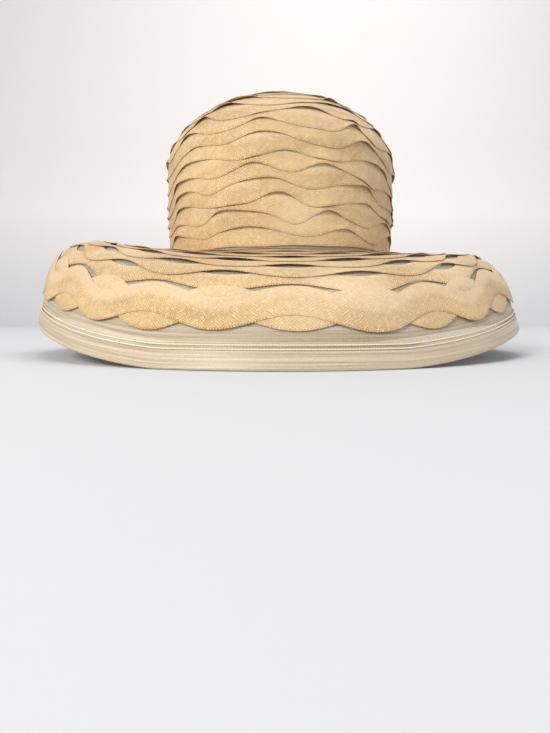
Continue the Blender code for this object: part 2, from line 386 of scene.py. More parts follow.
def braid_finish(name, light):
    """Woven braid. It turns paler away from the strip's free edge."""
    made, tree = empty_finish(name)
    along, across = weave_place(tree)
    where = put(tree, "ShaderNodeTexCoord").outputs["Object"]

    # ribs that slant one way in one column and the other way in the next, a little unevenly
    column = calc(tree, "PINGPONG", calc(tree, "DIVIDE", along, COLUMN_PITCH), 1.0)
    column_index = calc(tree, "FLOOR", calc(tree, "DIVIDE", along, COLUMN_PITCH))
    slant = calc(tree, "MULTIPLY_ADD", column, RIB_RISE, calc(tree, "DIVIDE", across, RIB_PITCH))
    slant = calc(tree, "MULTIPLY_ADD", column_index, 0.5, slant)
    uneven = put(tree, "ShaderNodeTexNoise", {"Vector": where, "Scale": 260.0}).outputs[0]
    slant = calc(tree, "MULTIPLY_ADD", uneven, 0.9, slant)
    rib = calc(tree, "SINE", calc(tree, "MULTIPLY", slant, 2 * math.pi))
    turn_line = calc(tree, "ABSOLUTE", calc(tree, "SUBTRACT", column, 0.5))
    cell = combined(tree, column_index, calc(tree, "FLOOR", slant))
    rib_tone = put(tree, "ShaderNodeTexWhiteNoise", {0: cell}, noise_dimensions="2D").outputs[0]
    weave = calc(tree, "MULTIPLY_ADD", rib, 0.30, calc(tree, "SUBTRACT", 0.81, calc(
        tree, "MULTIPLY", turn_line, 0.14)))

    # small gaps along the free edge, painted dark as the shade that shows through them
    tick = calc(tree, "SINE", calc(tree, "MULTIPLY", along, 2 * math.pi / EDGE_TICK_PITCH))
    tick = calc(tree, "GREATER_THAN", tick, 0.2)
    edge = calc(tree, "MULTIPLY", tick, calc(tree, "LESS_THAN", across, EDGE_TICKS))
    weave = calc(tree, "MULTIPLY_ADD", edge, -0.5, weave)

    # tone: the weave, slow patches, fine grain and a shade of its own for each rib
    flat = put(tree, "ShaderNodeMapping", {0: where, 3: (0.8, 0.8, 3.0)}).outputs[0]
    patch = put(tree, "ShaderNodeTexNoise", {"Vector": flat, "Scale": 26.0, "Detail": 3.0})
    grain = put(tree, "ShaderNodeTexNoise", {"Vector": where, "Scale": 1100.0, "Detail": 2.0})
    tone = calc(tree, "MULTIPLY_ADD", weave, 0.85, calc(
        tree, "MULTIPLY_ADD", patch.outputs[0], 1.1, -0.62))
    tone = calc(tree, "MULTIPLY_ADD", grain.outputs[0], 0.5, calc(tree, "SUBTRACT", tone, 0.36))
    tone = calc(tree, "MULTIPLY_ADD", rib_tone, 0.22, tone)
    tone = put(tree, "ShaderNodeClamp", {0: tone}).outputs[0]
    colour = mixed(tree, tone, BRAID_DARK, light)

    # paler where the strip is tucked away, and in a few spots
    pale_spots = put(tree, "ShaderNodeTexNoise", {"Vector": where, "Scale": 17.0, "Detail": 1.0})
    tucked = mapped(tree, across, PALE_FROM, 1.5 * PALE_FROM, 0.0, 0.42)
    pale = mapped(tree, pale_spots.outputs[0], 0.56, 0.78, 0.0, 0.4)
    colour = mixed(tree, calc(tree, "MAXIMUM", pale, tucked), colour, BRAID_PALE)

    # specks of glitter thread, smoother than the rest, with a brighter colour that is a painted
    # glint
    speck = put(tree, "ShaderNodeTexVoronoi", {"Vector": where, "Scale": 1700.0})
    speck_split = put(tree, "ShaderNodeSeparateXYZ", {0: speck.outputs["Color"]})
    glitter_glint = mapped(tree, speck_split.outputs[0], 0.90, 0.96)
    colour = mixed(tree, calc(tree, "MULTIPLY", glitter_glint, 0.55), colour, GLITTER_GLINT)

    height = calc(tree, "MULTIPLY_ADD", grain.outputs[0], 0.25, weave)
    bump = put(tree, "ShaderNodeBump", {"Height": height, "Strength": 0.7, "Distance": 0.0004})
    rough = calc(tree, "MULTIPLY_ADD", glitter_glint, -0.35, 0.62)
    shader = put(tree, "ShaderNodeBsdfPrincipled", {
        "Base Color": colour, "Roughness": rough, "Normal": bump.outputs[0], "Sheen Weight": 0.25,
        "Sheen Roughness": 0.45, "Specular IOR Level": 0.35})
    glow = put(tree, "ShaderNodeBsdfTranslucent", {"Color": colour, "Normal": bump.outputs[0]})
    both = put(tree, "ShaderNodeMixShader", {0: 0.22, 1: shader.outputs[0], 2: glow.outputs[0]})
    put(tree, "ShaderNodeOutputMaterial", {0: both.outputs[0]})
    return made


woven_braid = braid_finish("woven_braid", BRAID_LIGHT)
# the same braid for the crossing pair, in a darker colour that is painted shade
shaded_pair_braid = braid_finish("shaded_pair_braid", BRAID_PAIR_SHADED)
print("finishes:", woven_braid.name, shaded_pair_braid.name, "with",
      len(woven_braid.node_tree.nodes), "nodes each")


# %% [markdown]
# ## Finish: sheer organza
# Organza is a stiff, open, shiny weave, and one sees through it. Under the braid it is one thin
# layer. Towards the rim its threads lie closer together in fine lines round the hat. The lines are
# noise that changes fast along the section and slowly round the head, and the same noise drives
# the colour, the bump and how much shows through.

# %% Organza
ORGANZA_LIGHT = (0.74, 0.64, 0.47, 1)
ORGANZA_DARK = (0.54, 0.42, 0.28, 1)
LINED_FROM = 0.096                  # distance along the section where the lines start
NO_LINES = 1.0                      # farther than any section runs
ALL_LINES = -1.0


def organza_finish(name, plain_cover, least, most, lined_from):
    """Sheer cloth. A cover is the share of what is behind it that it hides."""
    made, tree = empty_finish(name)
    distance = weave_place(tree)[1]
    where = put(tree, "ShaderNodeTexCoord").outputs["Object"]
    slow = put(tree, "ShaderNodeMapping", {0: where, 3: (9.0, 9.0, 9.0)}).outputs[0]
    lines = put(tree, "ShaderNodeTexNoise", {
        "Vector": slow, "W": calc(tree, "MULTIPLY", distance, 1300.0), "Scale": 1.0, "Detail": 3.0,
        "Roughness": 0.6}, noise_dimensions="4D").outputs[0]
    threads = put(tree, "ShaderNodeTexNoise", {"Vector": where, "Scale": 1500.0}).outputs[0]
    lined = mapped(tree, distance, lined_from - 0.005, lined_from + 0.003)
    both = calc(tree, "MULTIPLY_ADD", threads, 0.4, calc(tree, "MULTIPLY", lines, 0.8))
    cover = mapped(tree, both, 0.4, 0.8, least, most)
    thin = mapped(tree, both, 0.4, 0.8, 0.7 * plain_cover, 1.3 * plain_cover)
    cover = put(tree, "ShaderNodeMix", {"Factor": lined, "A": thin, "B": cover}).outputs["Result"]
    tone = mapped(tree, lines, 0.32, 0.68)
    tone = put(tree, "ShaderNodeMix", {"Factor": lined, "A": 0.8, "B": tone}).outputs["Result"]
    colour = mixed(tree, tone, ORGANZA_DARK, ORGANZA_LIGHT)
    bump = put(tree, "ShaderNodeBump", {"Height": lines, "Strength": 0.5, "Distance": 0.0003})
    shader = put(tree, "ShaderNodeBsdfPrincipled", {
        "Base Color": colour, "Roughness": 0.42, "Alpha": cover, "Normal": bump.outputs[0],
        "Sheen Weight": 0.35, "Sheen Roughness": 0.35, "Specular IOR Level": 0.5})
    put(tree, "ShaderNodeOutputMaterial", {0: shader.outputs[0]})
    return made


sheer_organza = organza_finish("sheer_organza", 0.34, 0.34, 0.66, LINED_FROM)
crown_organza = organza_finish("crown_organza", 0.34, 0.34, 0.66, NO_LINES)
hem_organza = organza_finish("hem_organza", 0.5, 0.45, 0.82, ALL_LINES)
print("finishes:", sheer_organza.name, crown_organza.name, hem_organza.name)


# %% [markdown]
# ## Finish: ribbon and hem thread
# The head opening is finished with a brown ribbed ribbon. Two rounds of a pale shiny thread lie
# beside the fold at the rim. Both need only fine ribs across their run, so one finish serves both.

# %% Ribbon and thread
RIBBON_BROWN = (0.40, 0.24, 0.12)
RIBBON_RIB = 0.0011
THREAD_PALE = (0.90, 0.80, 0.57)
THREAD_TWIST = 0.0016               # one turn of the thread


def plain_finish(name, colour, roughness, sheen, rib_pitch):
    """A thread or ribbon with ribs across its run, drawn on the UV map."""
    made, tree = empty_finish(name)
    along = weave_place(tree)[0]
    rib = calc(tree, "SINE", calc(tree, "MULTIPLY", along, 2 * math.pi / rib_pitch))
    tone = calc(tree, "MULTIPLY_ADD", rib, 0.25, 0.75)
    shade = mixed(tree, tone, tuple(0.55 * c for c in colour) + (1,), colour + (1,))
    bump = put(tree, "ShaderNodeBump", {"Height": rib, "Strength": 0.6, "Distance": 0.0002})
    shader = put(tree, "ShaderNodeBsdfPrincipled", {
        "Base Color": shade, "Roughness": roughness, "Normal": bump.outputs[0],
        "Sheen Weight": sheen, "Specular IOR Level": 0.4})
    put(tree, "ShaderNodeOutputMaterial", {0: shader.outputs[0]})
    return made


ribbon_brown = plain_finish("ribbon_brown", RIBBON_BROWN, 0.7, 0.3, RIBBON_RIB)
hem_thread = plain_finish("hem_thread", THREAD_PALE, 0.36, 0.2, THREAD_TWIST)
print("finishes:", ribbon_brown.name, hem_thread.name)


# %% [markdown]
# ## A row of braid
# One tree lays every row. It starts from a flat grid, and reads each point as an address: how far
# round the head, and how far across the strip. A wave and a slow wander move the strip sideways,
# as a hand lays it. The tucked edge lies close to the cloth, and the free edge arches up where it
# swings back, so each row throws lens shaped shadows on the next.
#
# Rows could be stacked by giving each a fixed height, but then they either float or cut through
# one another. Here each point casts rays down on the row that was laid before, and stays just
# above what they hit. The rays also look a little to both sides, because the strip is flat between
# its points, and an edge of the lower row that runs between two of them would cut through it.

# %% The braid row tree
BRAID_THICK = 0.00026
CLEARANCE = BRAID_THICK / 2 + 0.00005   # a row's middle over the face of the row below
RAY_START = 0.006
LOOK_ROUND = (-0.0026, -0.0013, 0.0, 0.0013, 0.0026)   # places of the rays, across the strip
MERGE = 0.00003                     # joins a row's two ends, and the points at the crown's top


def braid_row_tree():
    tree, given = shape_tree("braid row", (
        ("Form", "Object", None), ("Lower Row", "Object", None), ("Section Length", "Float", 0.125),
        ("Tucked Edge", "Float", 0.0), ("Width", "Float", 0.02), ("Wave Swing", "Float", 0.003),
        ("Wave Count", "Float", 9.0), ("Wave Turn", "Float", 0.0), ("Uneven", "Float", 0.5),
        ("Wander", "Float", 0.004), ("Side Drop", "Float", 0.0), ("Lift", "Float", 0.001),
        ("Rise", "Float", 0.0024), ("Arch Rise", "Float", 0.0), ("Bow", "Float", 0.0003),
        ("Flute", "Float", 0.001), ("Run Length", "Float", 0.56), ("Seed", "Float", 0.0),
        ("Steps Round", "Int", 240), ("Steps Across", "Int", 8), ("Finish", "Material", None)))
    grid = put(tree, "GeometryNodeMeshGrid", {
        "Size X": 1.0, "Size Y": 1.0,
        "Vertices X": calc(tree, "ADD", given["Steps Round"], 1.0),
        "Vertices Y": calc(tree, "ADD", given["Steps Across"], 1.0)})
    flat = put(tree, "ShaderNodeSeparateXYZ", {
        0: put(tree, "GeometryNodeInputPosition").outputs[0]})
    turn = calc(tree, "ADD", flat.outputs[0], 0.5)
    across = calc(tree, "ADD", flat.outputs[1], 0.5)
    angle = calc(tree, "MULTIPLY", turn, 2 * math.pi)
    circle = combined(tree, calc(tree, "COSINE", angle), calc(tree, "SINE", angle))

    def drift(scale, shift):
        """Smooth noise round the row, between about -1 and 1, that closes on itself."""
        noise = put(tree, "ShaderNodeTexNoise", {
            "Vector": circle, "W": calc(tree, "ADD", given["Seed"], shift), "Scale": scale,
            "Detail": 1.0}, noise_dimensions="4D")
        return calc(tree, "MULTIPLY_ADD", noise.outputs[0], 3.0, -1.5)

    shift = calc(tree, "MULTIPLY", drift(1.4, 3.1), calc(tree, "MULTIPLY", given["Uneven"], 2.6))
    phase = calc(tree, "MULTIPLY_ADD", angle, given["Wave Count"], given["Wave Turn"])
    wave = calc(tree, "SINE", calc(tree, "ADD", phase, shift))
    strength = calc(tree, "MULTIPLY_ADD", drift(1.7, 5.0), given["Uneven"], 1.0)
    strength = put(tree, "ShaderNodeClamp", {0: strength, 1: 0.2, 2: 1.4}).outputs[0]
    wave = calc(tree, "MULTIPLY", wave, strength)
    sway = calc(tree, "MULTIPLY", wave, given["Wave Swing"])
    sway = calc(tree, "MULTIPLY_ADD", drift(1.1, 0.0), given["Wander"], sway)
    side = calc(tree, "POWER", calc(tree, "ABSOLUTE", calc(tree, "SINE", angle)), 4.0)
    sway = calc(tree, "SUBTRACT", sway, calc(tree, "MULTIPLY", side, given["Side Drop"]))
    spread = calc(tree, "MULTIPLY_ADD", across, given["Width"], given["Tucked Edge"])
    onward = calc(tree, "SIGN", given["Width"])
    form = put(tree, "GeometryNodeObjectInfo", {0: given["Form"]}).outputs["Geometry"]
    lower = put(tree, "GeometryNodeObjectInfo", {0: given["Lower Row"]}).outputs["Geometry"]

    def on_form(back):
        """The place and the normal on the form, a little back from this point's address."""
        distance = calc(tree, "MULTIPLY_ADD", onward, -back, calc(tree, "ADD", spread, sway))
        share = calc(tree, "DIVIDE", distance, given["Section Length"])
        share = put(tree, "ShaderNodeClamp", {0: share}).outputs[0]
        spot, up = look_up(tree, form, combined(tree, turn, share))
        return spot, put(tree, "ShaderNodeVectorMath", {0: up}, operation="NORMALIZE").outputs[0]

    def top_of_lower_row(back):
        """How high this row's middle has to lie to clear the row below."""
        spot, up = on_form(back)
        ray = put(tree, "GeometryNodeRaycast", {
            "Target Geometry": lower, "Source Position": moved_along(tree, spot, up, RAY_START),
            "Ray Direction": scaled(tree, up, -1.0), "Ray Length": RAY_START}).outputs
        top = calc(tree, "SUBTRACT", RAY_START + CLEARANCE, ray["Hit Distance"])
        return calc(tree, "MULTIPLY", top, ray["Is Hit"])

    place, normal = on_form(0.0)
    free = calc(tree, "POWER", across, 1.3)
    bow = calc(tree, "MULTIPLY", across, calc(
        tree, "SUBTRACT", 4.0, calc(tree, "MULTIPLY", across, 4.0)))
    flute = calc(tree, "MULTIPLY", calc(tree, "MULTIPLY", drift(2.6, 7.3), given["Flute"]),
                 calc(tree, "POWER", across, 2.0))
    arch = calc(tree, "MULTIPLY", calc(tree, "MULTIPLY", wave, onward), -1.0)
    arch = calc(tree, "MULTIPLY", calc(tree, "MAXIMUM", arch, 0.0), given["Arch Rise"])
    lift = calc(tree, "MULTIPLY_ADD", free, given["Rise"], given["Lift"])
    lift = calc(tree, "MULTIPLY_ADD", calc(tree, "POWER", across, 6.0), arch, lift)
    lift = calc(tree, "MULTIPLY_ADD", bow, given["Bow"], lift)
    lift = calc(tree, "ADD", lift, flute)
    for back in LOOK_ROUND:
        lift = calc(tree, "MAXIMUM", lift, top_of_lower_row(back))
    from_free_edge = calc(tree, "MULTIPLY", calc(tree, "SUBTRACT", 1.0, across),
                          calc(tree, "ABSOLUTE", given["Width"]))
    uv = combined(tree, calc(tree, "MULTIPLY", turn, given["Run Length"]), from_free_edge)
    moved = put(tree, "GeometryNodeSetPosition", {
        "Geometry": with_weave(tree, grid.outputs["Mesh"], uv),
        "Position": moved_along(tree, place, normal, lift)})
    closed = put(tree, "GeometryNodeMergeByDistance", {"Geometry": moved.outputs[0],
                                                       "Distance": MERGE})
    end_tree(tree, closed.outputs[0], given["Finish"])
    return tree


braid_tree = braid_row_tree()
print("tree:", braid_tree.name, "with", len(braid_tree.nodes), "nodes")

# %% [markdown]
# A row's modifier is set up by input name, evaluated, and turned into a plain mesh. Solidify then
# gives the strip its thickness, half to each side, and that too is kept as plain mesh.

# %% From a tree to a finished piece
CREASE = math.radians(50)


def baked(item):
    """Replaces an object's mesh by its evaluated one and removes its modifiers."""
    graph = bpy.context.evaluated_depsgraph_get()
    mesh = bpy.data.meshes.new_from_object(item.evaluated_get(graph))
    item.modifiers.clear()
    item.data = mesh
    mesh.shade_smooth()
    mesh.set_sharp_from_angle(angle=CREASE)
    return item


def thickened(item, thickness):
    """Gives a piece its thickness, half to each side, unless that is 0, and bakes it."""
    if thickness:
        wall = item.modifiers.new("wall", "SOLIDIFY")
        wall.thickness = thickness
        wall.offset = 0
    return baked(item)


def piece(name, tree, thickness, **values):
    """A piece made by a tree, thickened and baked."""
    item = added(name, bpy.data.meshes.new(name))
    shape = item.modifiers.new("shape", "NODES")
    shape.node_group = tree
    for key, value in values.items():
        set_input(shape, key.replace("_", " ").title(), value)
    return thickened(item, thickness)


def hand_over(item, slot, *nodes):
    """Hangs a finished piece on the root, and hides the parts of the frame that it replaces."""
    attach(item, "root")
    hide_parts(*nodes)
    return item


def whole_columns(length):
    """A run length that holds a whole number of herringbone columns, so that its ends meet."""
    pair = 2 * COLUMN_PITCH
    return round(length / pair) * pair


print("braid is", BRAID_THICK * 1000, "mm thick")

# %% [markdown]
# ## Crown rows
# Eighteen rows climb the crown. Each is up to 20 mm wide and shows about half, with its lower edge
# free. The waves fade and grow fewer towards the top, where a round of braid closes the middle.

# %% Lay the crown
CROWN_ROWS = 18
CROWN_FOOT = 0.0002
CROWN_STRIP = 0.020
FIRST_EDGE = 0.25                   # the lowest free edge, in row pitches above the foot
TOP_HOLE = 0.004                    # the rows stop this far from the middle of the top
CROWN_SWING = 0.0034
CROWN_WANDER = 0.0024
CROWN_ARCH = 0.0019
CROWN_WAVES = (8, 9, 10)            # taken in turn from row to row
FEWEST_WAVES = 3
FADE_WAVES = 1.1                    # waves fade where the radius is under 1/1.1 of the widest
CALM_FOOT = 0.3                     # the lowest row follows the brim, so it waves less
GOLDEN_TURN = 2.39996               # radians from one row's waves to the next row's
SIDE_DROP = 0.0110                  # rows sag together at the sides of the head
DROP_FULL = 5                       # the row that sags most
DROP_ENDS = 15                      # from this row up none sags
SEED_STEP = 0.35                    # small, so that neighbours wander much alike
TIP_REACH = 0.0120
TIP_LIFT = 0.0019
TIP_RUN = 0.06                      # metres of weave once round the tip

crown_rows = []
crown_pitch = (CROWN_LENGTH - CROWN_FOOT - TIP_REACH) / CROWN_ROWS
for row in range(CROWN_ROWS):
    free_edge = CROWN_FOOT + (row + FIRST_EDGE) * crown_pitch
    radius = radius_at(crown_grid, free_edge / CROWN_LENGTH)
    calm = min(1.0, radius / CROWN_HALF[1] * FADE_WAVES)
    calm = calm * CALM_FOOT if row == 0 else calm
    waves = max(FEWEST_WAVES, round(CROWN_WAVES[row % 3] * calm))
    strip = min(CROWN_STRIP, CROWN_LENGTH - free_edge - TOP_HOLE)
    drop = SIDE_DROP * float(np.interp(row, (0, DROP_FULL, DROP_ENDS), (0, 1, 0)))
    item = piece(
        f"crown_row_{row + 1:02d}", braid_tree, BRAID_THICK, form=crown_form,
        section_length=CROWN_LENGTH, tucked_edge=free_edge + strip, width=-strip,
        wave_swing=CROWN_SWING * calm, wave_count=float(waves), wave_turn=row * GOLDEN_TURN,
        uneven=0.9, wander=CROWN_WANDER * calm, side_drop=drop,
        lift=0.0004, rise=0.0006, arch_rise=CROWN_ARCH * calm, bow=0.0002, flute=0.0,
        lower_row=crown_rows[-1] if crown_rows else None,
        run_length=whole_columns(2 * math.pi * radius),
        seed=row * SEED_STEP, finish=woven_braid)
    crown_rows.append(hand_over(item, "braid", f"crown_braid_{row + 1:02d}"))
tip = piece(
    "tip_round", braid_tree, BRAID_THICK, form=crown_form, section_length=CROWN_LENGTH,
    tucked_edge=CROWN_LENGTH, width=-TIP_REACH, wave_swing=0.0, wander=0.0, lift=TIP_LIFT,
    rise=0.0003, bow=0.0, flute=0.0, run_length=whole_columns(TIP_RUN), steps_round=96,
    steps_across=10, finish=woven_braid)
crown_rows.append(hand_over(tip, "braid", "crown_tip"))
print("crown rows:", CROWN_ROWS, "at", round(crown_pitch * 1000, 1), "mm")

# %% [markdown]
# ## Brim rows
# Seven rows cover the brim out to the wavy pair. Neighbours wave against each other, so small lens
# shaped gaps open between them and show the organza. They are laid from the edge inwards, each
# over the one outside it, and the waves fade towards the crown.

# %% Lay the brim
BRIM_ROWS = 7
BRIM_FOOT = 0.0020
BRAIDED = 0.0755
BRIM_STRIP = 0.0130
CROWN_CLEAR = 0.0012                # the innermost row starts this far from the crown
BRIM_WAVES = 14.0
BRIM_SWING = 0.0036
SWING_STEP = 0.28                   # each row outwards adds this share of the swing
BRIM_UNEVEN = 0.3
BRIM_WANDER = 0.0016
LOOSE_EDGE = (0.0010, 0.0005)       # rise and arch rise
FLAT_EDGE = (0.0003, 0.0)           # the same for the row that the pair lies over
PAIR_TURN = -0.95                   # puts a trough just left of the front
BRIM_SEED = 40.0                    # the same for every row, so that the lenses stay in step

brim_rows = []
brim_pitch = (BRAIDED - BRIM_FOOT) / BRIM_ROWS
for row in reversed(range(BRIM_ROWS)):
    free_edge = BRIM_FOOT + (row + 1) * brim_pitch
    radius = radius_at(brim_grid, free_edge / BRIM_LENGTH)
    strip = min(BRIM_STRIP, free_edge - CROWN_CLEAR)
    swing = BRIM_SWING * min(1.0, SWING_STEP * row)
    rise, arch_rise = FLAT_EDGE if row == BRIM_ROWS - 1 else LOOSE_EDGE
    item = piece(
        f"brim_row_{row + 1}", braid_tree, BRAID_THICK, form=brim_form,
        section_length=BRIM_LENGTH, tucked_edge=free_edge - strip, width=strip,
        wave_swing=swing, wave_count=BRIM_WAVES, uneven=BRIM_UNEVEN,
        wander=BRIM_WANDER if row else 0.0,
        wave_turn=PAIR_TURN + (BRIM_ROWS - 1 - row) * math.pi, lift=0.0006, rise=rise,
        arch_rise=arch_rise, bow=0.0002, flute=0.0002,
        lower_row=brim_rows[-1] if brim_rows else None,
        run_length=whole_columns(2 * math.pi * radius), seed=BRIM_SEED, steps_round=360,
        finish=woven_braid)
    brim_rows.append(hand_over(item, "braid", f"brim_braid_{row + 1}"))
print("brim rows:", BRIM_ROWS, "at", round(brim_pitch * 1000, 1), "mm")

# %% [markdown]
# ## The crossing pair
# Outside the plain rows two wider strips wave against each other like a twisted chain. One always
# lies on top, and where it swings inward the other shows beyond it as a lens.

# %% Lay the crossing pair
PAIR_STRIP = 0.0185
PAIR_MIDDLE = 0.0885
PAIR_SWING = 0.0054
PAIR_RUN = 1.13                     # metres round the head at the middle of the pair
PAIR = (                            # name, node, turn of the waves, lift
    ("wave_row_under", "brim_wave_under", math.pi, 0.0011),
    ("wave_row_over", "brim_wave_over", 0.0, 0.0017),
)

lower = brim_rows[0]                # the outermost plain row
for name, node, start, lift in PAIR:
    item = piece(
        name, braid_tree, BRAID_THICK, form=brim_form, section_length=BRIM_LENGTH,
        tucked_edge=PAIR_MIDDLE - PAIR_STRIP / 2, width=PAIR_STRIP, wave_swing=PAIR_SWING,
        wave_count=BRIM_WAVES, wave_turn=start + PAIR_TURN, uneven=BRIM_UNEVEN,
        wander=BRIM_WANDER, lift=lift, rise=0.0003, bow=0.0004, flute=0.0001, lower_row=lower,
        run_length=whole_columns(PAIR_RUN), seed=BRIM_SEED, steps_round=480, steps_across=10,
        finish=shaded_pair_braid)
    lower = item
    brim_rows.append(hand_over(item, "braid", node))
print("crossing pair:", int(BRIM_WAVES), "waves each")


# %% [markdown]
# ## The organza
# The organza itself is a sheet over the whole form. Out to the wavy pair it is plain. Past that it
# has fine ridges that run round the hat, made by small steps in the lift.

# %% Organza sheets
ORGANZA_THICK = 0.00030
RIDGE_FROM = 0.099
RIDGE_PITCHES = (0.0021, 0.0034)
RIDGE_HEIGHT = 0.00026              # from trough to crest, where both pitches add up
BRIM_TURNS = 360
CROWN_TURNS = 180
PLAIN_STEPS = 33
RIDGED_STEPS = 72
CROWN_STEPS = 48
RIM_SHORT = 0.0004                  # the brim's sheet ends this far short of the rim
FOOT_SHORT = 0.0012                 # and the crown's starts this far above the opening


def cloth_sheet(name, grid, length, distances, lifts, turns_round, close_top=False):
    """A sheet over a form, from distances along the section and a lift at each of them."""
    azimuth = np.linspace(0, 2 * math.pi, turns_round, endpoint=False) + SEAM
    columns = np.linspace(0, FORM_TURNS, turns_round, endpoint=False)
    low = columns.astype(int)
    part = (columns - low)[:, None, None]
    sections = grid[low] * (1 - part) + grid[low + 1] * part
    shares = np.clip(distances / length, 0, 1)
    points = np.stack([[np.interp(shares, FORM_MARKS, section[:, axis]) for axis in (0, 1)]
                       for section in sections]).transpose(0, 2, 1)
    slope = np.gradient(points, axis=1)
    slope /= np.linalg.norm(slope, axis=2, keepdims=True) + 1e-12
    side = 1.0 if grid[0, -1, 0] < grid[0, 0, 0] else -1.0
    normal = side * np.stack([slope[..., 1], -slope[..., 0]], -1)
    points = points + normal * lifts[None, :, None]
    placed = round_the_head(points, azimuth)
    if close_top:
        placed[:, -1] = placed[:, -1].mean(axis=0)
    run = 2 * math.pi * grid[0, :, 0].max()
    return ring_object(name, placed, ROUND_FIRST, WEAVE_UV, run, distances)


plain_part = np.linspace(0, RIDGE_FROM, PLAIN_STEPS + 1)[:-1]
ridged_part = np.linspace(RIDGE_FROM, BRIM_LENGTH - RIM_SHORT, RIDGED_STEPS)
distances = np.concatenate([plain_part, ridged_part])
past = np.maximum(distances - RIDGE_FROM, 0)
ridges = sum(np.sin(past / pitch * 2 * math.pi) for pitch in RIDGE_PITCHES) * RIDGE_HEIGHT / 4
brim_sheet = cloth_sheet("brim_organza", brim_grid, BRIM_LENGTH, distances, ridges, BRIM_TURNS)
brim_sheet.data.materials.append(sheer_organza)
hand_over(thickened(brim_sheet, ORGANZA_THICK), "organza", "brim_base")
crown_distances = np.linspace(FOOT_SHORT, CROWN_LENGTH, CROWN_STEPS)
crown_sheet = cloth_sheet("crown_organza", crown_grid, CROWN_LENGTH, crown_distances,
                          0 * crown_distances, CROWN_TURNS, close_top=True)
crown_sheet.data.materials.append(crown_organza)
hand_over(thickened(crown_sheet, ORGANZA_THICK), "organza", "crown_base")
print("organza faces:", len(brim_sheet.data.polygons), len(crown_sheet.data.polygons))

# %% [markdown]
# ## The hem
# The rim is a narrow fold: the organza goes round the edge and 9 mm back on both faces, so it is
# denser there. It is a ring of sections like the brim's own, so it is built in the same way.

# %% Fold and thread
HEM_DEPTH = 0.0090
HEM_ROLL = 0.0008                   # from the cloth's middle to each face of the fold
RIM_ROUND = 1.18                    # metres round the rim
LOOK_BACK = 0.01                    # share of the section over which its slope is read


def folded_hem():
    """The fold's rings of points: in on the upper face, round the rim, and back below."""
    azimuth = np.linspace(0, 2 * math.pi, BRIM_TURNS, endpoint=False) + SEAM
    sections = evenly(brim_sections(azimuth), FORM_SHARES)
    back = np.linspace(HEM_DEPTH, 0.0, 10)
    path = [(-far, HEM_ROLL) for far in back]
    path += [(HEM_ROLL * math.cos(turn), HEM_ROLL * math.sin(turn))
             for turn in np.radians([60, 30, 0, -30, -60])]
    path += [(-far, -HEM_ROLL) for far in back[::-1]]
    rings = []
    for section in sections:
        ring = []
        for ahead, lift in path:
            share = 1 + min(ahead, 0) / BRIM_LENGTH
            point, before = [np.array([np.interp(at, FORM_MARKS, section[:, axis])
                                       for axis in (0, 1)]) for at in (share, share - LOOK_BACK)]
            step = point - before
            step /= np.linalg.norm(step)
            normal = np.array([-step[1], step[0]])
            ring.append(point + max(ahead, 0) * step + lift * normal)
        rings.append(ring)
    return round_the_head(np.array(rings), azimuth)


def trim_object(name, points):
    """A hem or ribbon. Round the head both count the rim's length, and along the section metres."""
    steps = np.linalg.norm(np.diff(points[0], axis=0), axis=1)
    marks = np.append(0, np.cumsum(steps))
    return ring_object(name, points, ALONG_FIRST, WEAVE_UV, RIM_ROUND, marks)


hem_points = folded_hem()
hem = trim_object("rolled_hem", hem_points)
hem.data.materials.append(hem_organza)
hem = hand_over(thickened(hem, ORGANZA_THICK), "hem", "rim_hem")
print("hem lowest point in mm:", round(float(hem_points[..., 2].min()) * 1000, 2))

# %% [markdown]
# Two rounds of shiny thread lie just past the fold, nearer the head. Each is a thin tube that
# follows the brim at a set distance from the rim. A small tree looks its places up by address.

# %% The thread tree
def thread_tree():
    tree, given = shape_tree("thread on a form", (
        ("Form", "Object", None), ("Share", "Float", 0.9), ("Lift", "Float", 0.001),
        ("Radius", "Float", 0.0003), ("Steps Round", "Int", 480), ("Sides", "Int", 6),
        ("Finish", "Material", None)))
    circle = put(tree, "GeometryNodeCurvePrimitiveCircle", {"Resolution": given["Steps Round"]})
    index = put(tree, "GeometryNodeInputIndex").outputs[0]
    turn = calc(tree, "DIVIDE", index, given["Steps Round"])
    form = put(tree, "GeometryNodeObjectInfo", {0: given["Form"]}).outputs["Geometry"]
    place, normal = look_up(tree, form, combined(tree, turn, given["Share"]))
    moved = put(tree, "GeometryNodeSetPosition", {
        "Geometry": circle.outputs["Curve"],
        "Position": moved_along(tree, place, normal, given["Lift"])})
    section = put(tree, "GeometryNodeCurvePrimitiveCircle", {"Resolution": given["Sides"],
                                                             "Radius": given["Radius"]})
    saved = put(tree, "GeometryNodeCaptureAttribute", {"Geometry": moved.outputs[0]})
    saved.capture_items.new("FLOAT", "run")
    run = put(tree, "GeometryNodeSplineParameter").outputs["Length"]
    tree.links.new(run, saved.inputs["run"])
    tube = put(tree, "GeometryNodeCurveToMesh", {"Curve": saved.outputs[0],
                                                 "Profile Curve": section.outputs["Curve"]})
    uv = combined(tree, saved.outputs["run"])
    end_tree(tree, with_weave(tree, tube.outputs[0], uv), given["Finish"])
    return tree


THREADS_FROM_RIM = (0.0098, 0.0121)
THREAD_LIFT = 0.0008
THREAD_RADIUS = 0.00040

laid_thread = thread_tree()
for number, distance in enumerate(THREADS_FROM_RIM, start=1):
    thread = piece(f"hem_thread_{number}", laid_thread, 0.0, form=brim_form,
                   share=1 - distance / BRIM_LENGTH, lift=THREAD_LIFT, radius=THREAD_RADIUS,
                   finish=hem_thread)
    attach(thread, "root")
print("threads laid from the rim in mm:", [1000 * distance for distance in THREADS_FROM_RIM])

# %% [markdown]
# ## The ribbon in the head opening
# A ribbed ribbon 30 mm high lies inside the opening and hides the join of crown and brim. It is a
# plain wall that follows the opening's oval, set in a little from the organza.

# %% Ribbon
BAND_LOW = OPENING_HEIGHT - 0.002
BAND_HIGH = BAND_LOW + 0.030
BAND_INSET = 0.0013
BAND_THICK = 0.0008


